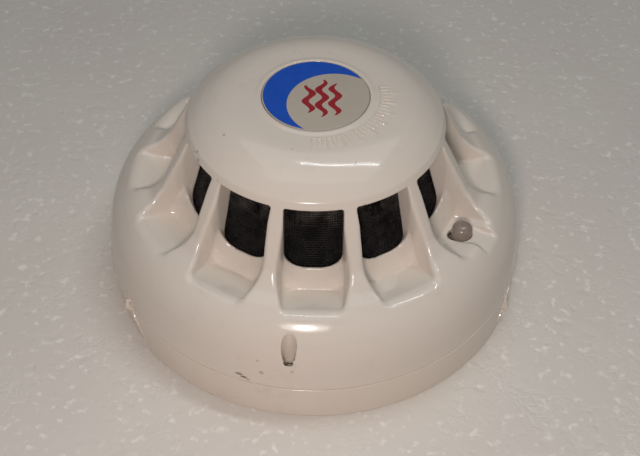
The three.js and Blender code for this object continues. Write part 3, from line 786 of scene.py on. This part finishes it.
def make_lock_screw():
    line = filleted([(0, 11, 0), (1.0, 11, 0.1), (1.5, 11.5, 0.1), (1.5, 14.4, 0.2), (0, 14.4, 0)])
    vertices, faces = spun(line, 48)
    screw = mesh_object("lock_grub", shift(vertices, LOCK_AZIMUTH, (0, -LOCK_RADIUS, 0)), faces, STEEL)
    socket = extruded(circle(0.87, 6), 12.9, 16, 0.01)
    carve(screw, [(shift(socket[0], LOCK_AZIMUTH, (0, -LOCK_RADIUS, 0)), socket[1])])
    fit(screw, "cover", "steel", "lock_screw")


make_label()
make_cap_ticks()
make_light_pipe()
make_lock_screw()


# ---- ceiling base ----------------------------------------------------------------------------------
def arch_cutter(azimuth):
    """The shallow arch that marks a cable knock-out on the outside of the base ring."""
    foot, shoulder, top = 15, 8.5, 8.9
    columns = []
    for u in np.linspace(-foot, foot, 41):
        slant = (foot - abs(u)) / (foot - shoulder)
        columns.append((u, min(top, 0.4 + top * min(1, slant) ** 0.7) if slant < 1 else top))
    vertices, faces = [], []
    for u, high in columns:
        for radius in (BASE_RADIUS - 0.75, BASE_RADIUS + 2):
            for z in (-1, high):
                vertices.append((*polar(radius, azimuth + u), z))
    for k in range(len(columns) - 1):
        a, b = 4 * k, 4 * k + 4
        for one, two in ((0, 1), (1, 3), (3, 2), (2, 0)):
            faces.append([a + one, b + one, b + two, a + two])
    faces.append([0, 1, 3, 2])
    last = 4 * (len(columns) - 1)
    faces.append([last + 2, last + 3, last + 1, last])
    return vertices, [face[::-1] for face in faces]


def torn_edge(name, points, seed, width=0.55):
    """A thin ragged sliver of torn plastic along [azimuth, height, stand-off] points."""
    rng = np.random.default_rng(seed)
    track = np.array(points, float)
    along = np.linspace(0, len(track) - 1, 26)
    vertices, faces = [], []
    for k, t in enumerate(along):
        azimuth, z, proud = (np.interp(t, np.arange(len(track)), track[:, c]) for c in range(3))
        taper = 0.25 + 0.75 * min(1, 4 * min(t, len(track) - 1 - t) / len(track))
        reach = width * taper * (0.7 + 0.6 * rng.random())
        lean = 0.12 * rng.standard_normal()
        for radius, side in ((53.6, -0.12), (53.6 + proud + reach, -0.05 + lean), (53.6 + proud + reach, 0.05 + lean), (53.6, 0.2)):
            turn = math.degrees(side / radius)
            vertices.append((*polar(radius, azimuth + turn), max(0.05, z + 0.1 * rng.standard_normal())))
        if k:
            for n in range(4):
                m = (n + 1) % 4
                faces.append([4 * k - 4 + n, 4 * k - 4 + m, 4 * k + m, 4 * k + n])
    faces += [[3, 2, 1, 0], [len(vertices) - 4 + n for n in range(4)]]
    fit(mesh_object(name, vertices, faces, BASE_IVORY, 60), "base", "ivory_plastic")


def make_base():
    inner, plate, entry = 52.1, 2.2, 15
    line = filleted([
        (35, 0, 0), (BASE_RADIUS, 0, 0.35), (BASE_RADIUS - 0.38, BASE_TOP, 0.35), (inner + 0.1, BASE_TOP, 0.3),
        (inner, plate, 0.6), (entry + 1.6, plate, 0.4), (entry + 1.6, 4, 0.3), (entry, 4, 0.3), (entry, 0, 0.3),
        (34.9, 0, 0)], step=15)
    ring = mesh_object("base_plate", *spun(line, 240, closed=True), BASE_IVORY)
    cuts = [extruded(slotted(side * 28, 2.5, 2.5), -1, 5, 0.01) for side in (1, -1)]
    cuts += [arch_cutter(azimuth) for azimuth in KNOCKOUTS]
    notch = extruded(circle(2.4, 32), 6.5, 12, 0.01)
    cuts.append((shift(notch[0], LOCK_AZIMUTH, (0, -LOCK_RADIUS, 0)), notch[1]))
    cuts += [(shift(v, azimuth, (0, -29, 0)), f) for azimuth in TERMINALS for v, f in [extruded(circle(1.95), 0.6, 9, 0.01)]]
    carve(ring, cuts)
    fit(ring, "base", "ivory_plastic", "mounting_base")
    pads = []
    for azimuth in TERMINALS:
        vertices, faces = soft_block((-6.5, -40.5, 1.7), (6.5, -22.5, 4.4), 0.3)
        pads.append((shift(vertices, azimuth), faces))
        for x in (-6.1, 4.9):
            vertices, faces = soft_block((x, -34, 4.3), (x + 1.2, -24, 6.6), 0.2)
            pads.append((shift(vertices, azimuth), faces))
    pads = mesh_object("terminal_blocks", *gathered(pads), BASE_IVORY)
    carve(pads, [(shift(v, azimuth, (0, -29, 0)), f) for azimuth in TERMINALS for v, f in [extruded(circle(1.95), 0.7, 9, 0.01)]])
    fit(pads, "base", "ivory_plastic", "mounting_base")
    catches = []
    for azimuth in BAYONETS:
        catches.append(arc_bar(46.4, 48.6, 1.7, 8.4, azimuth - 3, azimuth + 17))
        catches.append(arc_bar(43.9, 46.8, 6.3, 8.4, azimuth - 3, azimuth + 17))
        catches.append(arc_bar(43.9, 48.4, 1.7, 8.3, azimuth - 3, azimuth - 0.6))
    fit(mesh_object("bayonet_catches", *gathered(catches), BASE_IVORY, 30), "base", "ivory_plastic", "mounting_base")
    torn_edge("torn_edge_left", [(-56, 10.0, 0.5), (-54.6, 7.5, 0.35), (-51.5, 3.5, 0.2), (-48.6, 0.6, 0.7)], 3)
    torn_edge("torn_edge_left_tip", [(-58.8, 10.6, 0.7), (-58.2, 8.8, 0.9), (-57.6, 7.2, 0.4)], 5)
    torn_edge("torn_edge_right", [(66.5, 10.0, 0.6), (63.6, 7.0, 0.45), (61.5, 4.0, 0.4), (58.5, 0.7, 0.6)], 7)
    torn_edge("torn_edge_right_curl", [(65.5, 5.6, 1.0), (64.2, 3.4, 1.3), (62.6, 3.0, 0.7)], 9, 0.4)


def cross_screw(name, head, shank, low, high, tip, azimuth, out, body, node_name):
    """Pan-head screw with a cross recess and turned threads."""
    line = [(0, tip, 0), (shank * 0.5, tip, 0), (shank, tip + 0.8, 0)]
    turns = np.arange(tip + 1.0, low - 0.5, 0.5)
    for z in turns:
        line += [(shank, z, 0), (shank - 0.25, z + 0.25, 0)]
    line += [(shank, low - 0.2, 0), (shank, low, 0), (head, low, 0.15), (head, low + 0.5 * (high - low), 0.5),
             (head * 0.55, high, head * 0.5), (0, high, 0)]
    vertices, faces = spun(filleted(line, 15), 40)
    screw = mesh_object(name, shift(vertices, azimuth, (0, -out, 0)), faces, STEEL)
    wide, deep = head * 0.14, high - 0.8
    cuts = []
    for x, y in ((head * 0.62, wide), (wide, head * 0.62)):
        v, f = soft_block((-x, -y, deep), (x, y, high + 1), 0.05)
        cuts.append((shift(v, azimuth, (0, -out, 0)), f))
    carve(screw, cuts)
    fit(screw, body, "steel", node_name)


def make_terminals():
    strip = [(-5, -33.5), (-3, -33.5), (-3, -40.6), (3, -40.6), (3, -33.5), (5, -33.5), (5, -24.5), (-5, -24.5)]
    for k, azimuth in enumerate(TERMINALS, 1):
        hole = extruded(circle(1.95), 3, 9, 0.01)
        hole = (shift(hole[0], azimuth, (0, -29, 0)), hole[1])
        v, f = extruded(strip, 4.75, 5.55, 0.12)
        piece = mesh_object(f"terminal_contact_{k}", shift(v, azimuth), f, BRASS, 30)
        carve(piece, [hole])
        fit(piece, "base", "brass", f"terminal_strip_{k}")
        v, f = extruded([(-4.2, -32.8), (4.2, -32.8), (4.2, -25.2), (-4.2, -25.2)], 5.9, 6.9, 0.2)
        piece = mesh_object(f"wire_clamp_{k}", shift(v, azimuth), f, STEEL, 30)
        carve(piece, [hole])
        fit(piece, "base", "steel", f"terminal_clamp_{k}")
        cross_screw(f"clamp_screw_{k}", 3.1, 1.6, 7.25, 9.15, 1.0, azimuth, 29, "base", f"terminal_screw_{k}")
        top, low = 10.55, 5.9
        upper = [(20.5, top), (33.6, top), (38.6, low + 0.5), (40.6, low + 1.3)]
        blade = upper[::-1] + [(r, z - 0.5) for r, z in upper]
        v, f = extruded(blade, -2.7, 2.7, 0.1)
        v = np.array(v)
        v = np.stack([-v[:, 2], -v[:, 0], v[:, 1]], axis=1)
        piece = mesh_object(f"spring_blade_{k}", shift(v, azimuth), f, STEEL, 25)
        fit(piece, "head", "steel", f"contact_blade_{k}")


make_base()
make_terminals()


# ---- head ------------------------------------------------------------------------------------------
def make_chassis():
    line = filleted([
        (20, 10.9, 0), (41.8, 10.9, 0.3), (41.8, 3.1, 0.3), (43.4, 3.1, 0.3), (43.4, 10.9, 0.4), (50.9, 10.9, 0.3),
        (50.9, 15.4, 0.4), (49.3, 15.4, 0.4), (49.3, 12.7, 0.6), (19.9, 12.7, 0)], 15)
    floor = [(0, 10.9), *line, (0, 12.7)]
    floor = mesh_object("chassis_tray", *spun(floor, 192), IVORY)
    relief = extruded(circle(4, 32), 5, 20, 0.01)
    cuts = [(shift(relief[0], LOCK_AZIMUTH, (0, -LOCK_RADIUS, 0)), relief[1])]
    carve(floor, cuts)
    fit(floor, "head", "ivory_plastic", "head_chassis")
    posts = []
    for azimuth in BOARD_SCREWS:
        post = filleted([(1.5, 12.4, 0), (3.4, 12.4, 0), (3.4, 14.15, 0.3), (1.5, 14.15, 0.1), (1.5, 12.4, 0)])[:-1]
        vertices, faces = spun(post, 40, closed=True)
        posts.append((shift(vertices, azimuth, (0, -37.5, 0)), faces))
    tabs = [arc_bar(43.0, 45.9, 3.6, 5.9, azimuth + 0.6, azimuth + 14, 0.3) for azimuth in BAYONETS]
    ribs = [arc_bar(46.6, 47.4, 12.5, 13.9, start + 6, start + 84, 0.15) for start in (0, 90, 180, 270)]
    fit(mesh_object("chassis_posts_and_tabs", *gathered(posts + tabs + ribs), IVORY, 30),
        "head", "ivory_plastic", "head_chassis")


def gull_chip(name, azimuth, out, width, depth, legs, pitch, node_name):
    """A moulded chip with bent legs on both long sides, lying on the board."""
    v, f = soft_block((-width / 2, -depth / 2 + 0.9, 16.25), (width / 2, depth / 2 - 0.9, 17.85), 0.12)
    body = mesh_object(name, shift(v, azimuth, (0, -out, 0)), f, CHIP, 30)
    dot = extruded(circle(0.35, 20, (-width / 2 + 0.9, -depth / 2 + 1.7)), 17.75, 18.2, 0.01)
    carve(body, [(shift(dot[0], azimuth, (0, -out, 0)), dot[1])])
    fit(body, "head", "chip", node_name)
    edge = depth / 2
    shape = [(edge - 0.95, 17.0), (edge - 0.5, 17.0), (edge - 0.35, 16.3), (edge, 16.3),
             (edge, 16.12), (edge - 0.5, 16.12), (edge - 0.65, 16.85), (edge - 0.95, 16.85)][::-1]
    pins = []
    for side in (1, -1):
        for k in range(legs):
            x = (k - (legs - 1) / 2) * pitch
            v, f = extruded(shape, x - 0.2, x + 0.2, 0.02)
            v = np.array(v)
            v = np.stack([-v[:, 2] * side, -v[:, 0] * side, v[:, 1]], axis=1)
            pins.append((shift(shift(v, 0, (0, -out, 0)), azimuth), f))
    fit(mesh_object(name + "_legs", *gathered(pins), STEEL, 30), "head", "steel", node_name)


def make_board():
    board = mesh_object("board_laminate", *extruded(circle(42.5, 192), 14.5, 16.1, 0.1), BOARD, 30)
    cuts = [(shift(v, azimuth, (0, -37.5, 0)), f) for azimuth in BOARD_SCREWS for v, f in [extruded(circle(1.7), 13, 18, 0.01)]]
    carve(board, cuts)
    fit(board, "head", "board", "circuit_board")
    for k, azimuth in enumerate(BOARD_SCREWS, 1):
        cross_screw(f"board_fixing_{k}", 2.7, 1.2, 16.3, 18.05, 11.8, azimuth, 37.5, "head", f"board_screw_{k}")
    gull_chip("control_package", 0, 37.2, 9, 6, 7, 1.2, "control_chip")
    gull_chip("drive_package", 250, 37.2, 6, 4.4, 4, 1.27, "drive_chip")
    for k, azimuth in enumerate((120, 130), 1):
        line = filleted([(0, 16.15, 0), (2.25, 16.15, 0.2), (2.4, 16.8, 0.3), (2.2, 17.3, 0.3), (2.4, 17.8, 0.3),
                         (2.4, 21.9, 0.35), (2.0, 21.9, 0.1), (2.0, 21.75, 0), (0, 21.75, 0)], 15)
        v, f = spun(line, 48)
        fit(mesh_object(f"capacitor_can_{k}", shift(v, azimuth, (0, -38, 0)), f, SLEEVE), "head", "sleeve",
            f"storage_capacitor_{k}")
        v, f = spun(filleted([(0, 21.6, 0), (1.95, 21.6, 0), (1.95, 21.85, 0.05), (0, 21.85, 0)]), 40)
        fit(mesh_object(f"capacitor_top_{k}", shift(v, azimuth, (0, -38, 0)), f, STEEL), "head", "steel",
            f"storage_capacitor_{k}")
    v, f = soft_block((-7, -26, 16.2), (7, -14, 19), 0.5)
    fit(mesh_object("screen_can", shift(v, 170), f, STEEL, 50), "head", "steel", "screening_can")
    line = filleted([(0, 16.15, 0), (1.9, 16.15, 0.1), (1.9, 17, 0.1), (1.5, 17, 0.1), (1.5, 18.5, 1.2), (0, 18.5, 0)], 15)
    v, f = spun(line, 40)
    fit(mesh_object("lamp_die", shift(v, LED_AZIMUTH, (0, -LED_RADIUS, 0)), f, RED_LAMP), "head", "red_lamp",
        "indicator_led")
    rng = np.random.default_rng(11)
    bodies, ends = [], []
    keep_clear = [(0, 9), (250, 8), (120, 7), (130, 7), (LED_AZIMUTH, 5), (90, 7), (210, 7), (330, 7)]
    for azimuth in np.arange(4, 360, 6.5):
        for out in (34.6, 37.4, 40.4):
            turn, roll = azimuth + rng.uniform(-1, 1), rng.random()
            if roll > 0.62 or any(abs((turn - a + 180) % 360 - 180) < w for a, w in keep_clear):
                continue
            long, wide, tall = (1.0, 0.62, 0.45) if roll > 0.15 else (1.6, 1.25, 0.8)
            if roll < 0.4:
                long, wide = wide, long
            v, f = soft_block((-long, -wide, 16.12), (long, wide, 16.12 + tall), 0.06)
            bodies.append((shift(v, turn, (0, -out, 0)), f))
            for side in (1, -1):
                if long > wide:
                    box_low, box_high = (side * long * 0.72, -wide - 0.03), (side * long * 1.08, wide + 0.03)
                else:
                    box_low, box_high = (-long - 0.03, side * wide * 0.72), (long + 0.03, side * wide * 1.08)
                low = (min(box_low[0], box_high[0]), min(box_low[1], box_high[1]), 16.1)
                high = (max(box_low[0], box_high[0]), max(box_low[1], box_high[1]), 16.15 + tall)
                v, f = soft_block(low, high, 0.05)
                ends.append((shift(v, turn, (0, -out, 0)), f))
    fit(mesh_object("chip_parts", *gathered(bodies), CHIP, 30), "head", "chip")
    fit(mesh_object("chip_part_ends", *gathered(ends), STEEL, 30), "head", "steel")


MESH_LINE = ((21.9, 28.4, 45.6), (31.7, 31.7, 25.7))


def make_mesh_cone():
    """The insect mesh as crossing wires, over and under each other, with a hem at each end."""
    columns, rows, low, high, wire = 300, 42, 21.9, 45.6, 0.11
    j, i = np.meshgrid(np.arange(columns), np.arange(rows + 1), indexing="ij")
    z = low + (high - low) * i / rows
    middle = np.interp(z, *MESH_LINE) - 0.25
    over = wire * (-1.0) ** (i + j)
    angle = 2 * np.pi * j / columns
    vertices, faces = [], []
    for kind in (1, -1):
        start = sum(len(v) for v in vertices)
        ringed = []
        for corner in (90, 210, 330):
            a, b = wire * math.sin(math.radians(corner)), wire * math.cos(math.radians(corner))
            radius = middle + kind * over + a
            if kind == 1:
                turn, height = angle + b / middle, z
            else:
                turn, height = angle, z + b
            ringed.append(np.stack([radius * np.sin(turn), -radius * np.cos(turn), height], axis=-1))
        block = np.stack(ringed, axis=2)
        vertices.append(block.reshape(-1, 3))
        index = start + np.arange(block[..., 0].size).reshape(block.shape[:3])
        if kind == 1:
            one, two = index[:, :-1], index[:, 1:]
        else:
            one, two = index, np.roll(index, -1, axis=0)
        for k in range(3):
            m = (k + 1) % 3
            quad = np.stack([one[..., k], one[..., m], two[..., m], two[..., k]], axis=-1).reshape(-1, 4)
            faces += (quad if kind == 1 else quad[:, ::-1]).tolist()
    vertices = np.concatenate(vertices)
    hems = []
    for a, b in ((low, low + 0.7), (high - 0.7, high)):
        r = float(np.interp(0.5 * (a + b), *MESH_LINE))
        hems.append(spun([(r - 0.5, a), (r, a), (r, b), (r - 0.5, b)], 192, closed=True))
    cone = gathered([(vertices, faces), *hems])
    fit(mesh_object("insect_gauze", *cone, MESH, 50), "head", "black_mesh", "insect_mesh")
    lid = filleted([(0, 43.4, 0), (24.9, 43.4, 0.3), (24.9, 45.2, 0.5), (21, 46.4, 2), (0, 46.4, 0)], 10)
    fit(mesh_object("chamber_roof", *spun(lid, 128), BLACK), "head", "black_plastic", "chamber_lid")
    v, f = soft_block((-1.7, -14.8, 25.8), (1.7, -13.2, 29.2), 0.2)
    fit(mesh_object("photodiode_package", shift(v, 30), f, CHIP, 30), "head", "chip", "photodiode")
    for name, material in (("chamber_tray", BLACK), ("emitter_holder", BLACK), ("receiver_holder", BLACK),
                           ("infrared_emitter", DARK_LENS), ("receiver_lens", CLEAR)):
        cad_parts[name].material_slots[0].material = material


make_chassis()
make_board()
make_mesh_cone()


# ---- stage -----------------------------------------------------------------------------------------
def make_stage():
    size = 1.6
    mesh = bpy.data.meshes.new("floor")
    mesh.from_pydata([(-size, -size, 0), (size, -size, 0), (size, size, 0), (-size, size, 0)], [], [(0, 1, 2, 3)])
    mesh.materials.append(foam_board("floor_foam"))
    floor = bpy.data.objects.new("floor", mesh)
    bpy.context.scene.collection.objects.link(floor)


def area_light(name, place, target, width, depth, power, colour, shape="RECTANGLE", heading=0):
    """A soft light aimed at a point, its width lying along a compass heading in the plan."""
    data = bpy.data.lights.new(name, "AREA")
    data.shape = shape
    data.size, data.size_y = width, depth
    data.energy = power
    data.color = colour
    lamp = bpy.data.objects.new(name, data)
    bpy.context.scene.collection.objects.link(lamp)
    back = (Vector(place) - Vector(target)).normalized()
    level = Vector((math.cos(math.radians(heading)), math.sin(math.radians(heading)), 0))
    side = (level - back * level.dot(back)).normalized()
    turn = Matrix((side, back.cross(side), back)).transposed().to_4x4()
    lamp.matrix_world = Matrix.Translation(place) @ turn


def make_lights():
    middle = (0, 0, 0.03)
    area_light("ceiling", (0.05, 0.12, 0.95), middle, 1.0, 0.8, 2.0, (0.95, 0.99, 1))
    area_light("tube", (0.215, 0.125, 0.88), (0.215, 0.125, 0), 0.62, 0.026, 1.15, (0.93, 1, 1), heading=-18)
    area_light("lamp", (-0.018, -0.255, 0.212), middle, 0.11, 0.08, 0.13, (1, 0.88, 0.84), "ELLIPSE")
    area_light("core", (-0.018, -0.255, 0.212), middle, 0.045, 0.038, 0.27, (1, 0.88, 0.84), "ELLIPSE")
    world = bpy.data.worlds.new("studio")
    world.use_nodes = True
    sky = world.node_tree.nodes["Background"]
    sky.inputs["Color"].default_value = (0.95, 0.98, 1, 1)
    sky.inputs["Strength"].default_value = 0.03
    bpy.context.scene.world = world
    bpy.context.scene.view_settings.view_transform = "Standard"


make_stage()
make_lights()
